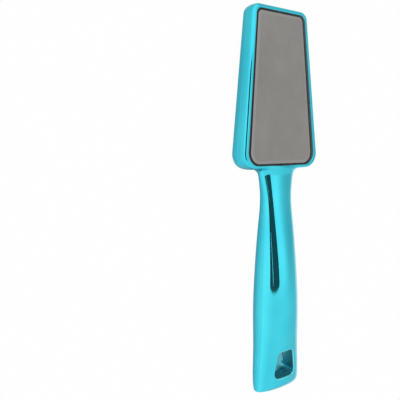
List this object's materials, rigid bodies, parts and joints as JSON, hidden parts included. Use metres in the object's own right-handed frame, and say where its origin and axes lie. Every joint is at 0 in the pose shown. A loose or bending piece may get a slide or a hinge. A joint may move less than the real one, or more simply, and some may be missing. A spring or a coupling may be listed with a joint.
{
  "type": "foot file",
  "caption": "Double-sided foot file: a plated plastic paddle with a bevelled abrasive plate let into each face of its tapered head, a slim neck, a swelling handle and a hang hole.",
  "frame": {"origin": "middle of the tool's box, on the joint between the two shells", "axes": "+Y along the tool towards the tip of the head, +Z out of the front plate, +X to the right seen from the front"},
  "size_m": [0.0528, 0.2, 0.0204],
  "materials": {
    "plated_shell": "moulded plastic with a tinted mirror plating, teal",
    "abrasive_plate": "thin steel plate with a fine matt grey abrasive face",
    "adhesive_pad": "matt black foam adhesive"
  },
  "bodies": {
    "root": {"front_shell": "plated_shell", "back_shell": "plated_shell", "front_file_plate": "abrasive_plate", "back_file_plate": "abrasive_plate", "front_adhesive_pad": "adhesive_pad", "back_adhesive_pad": "adhesive_pad"}
  },
  "joints": []
}
